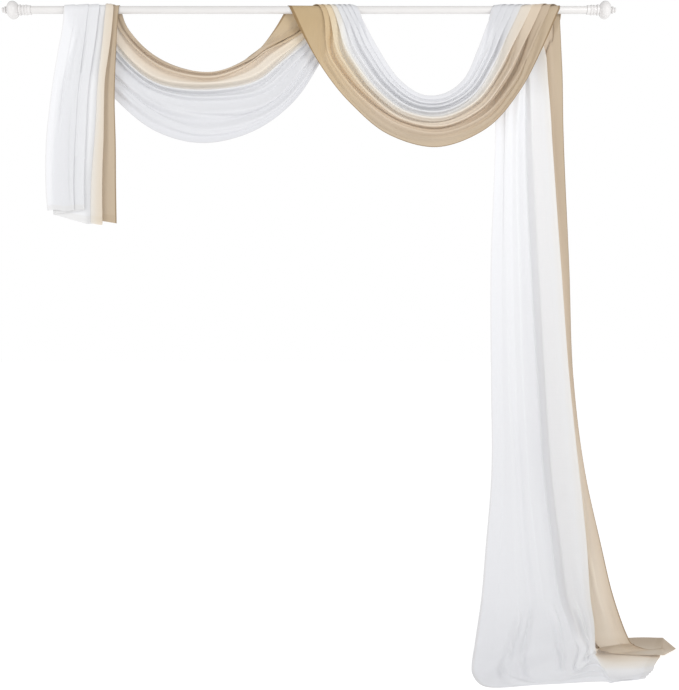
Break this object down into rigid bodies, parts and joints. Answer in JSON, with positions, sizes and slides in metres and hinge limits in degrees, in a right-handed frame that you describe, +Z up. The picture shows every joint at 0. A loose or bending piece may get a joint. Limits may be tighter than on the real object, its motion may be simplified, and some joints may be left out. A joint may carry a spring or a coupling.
{
  "type": "swag and tail drape on a curtain pole",
  "caption": "Sheer two-tone scarf draped over a white curtain pole in swags, with a short tail on one side and a long tail that pools on the floor",
  "frame": {"origin": "on the pole's axis at mid-length, where the brackets' line of support is named", "axes": "+X along the pole towards the long tail, +Z up, -Y towards the room"},
  "size_m": [2.4182, 0.4682, 2.2854],
  "materials": {
    "cloth": "sheer voile, dyed white to taupe across its width",
    "pole_paint": "satin white",
    "finial_paint": "satin white on moulded resin"
  },
  "bodies": {
    "root": {"scarf": "cloth", "pole": "pole_paint", "finial_left": "finial_paint", "finial_right": "finial_paint"}
  },
  "joints": []
}
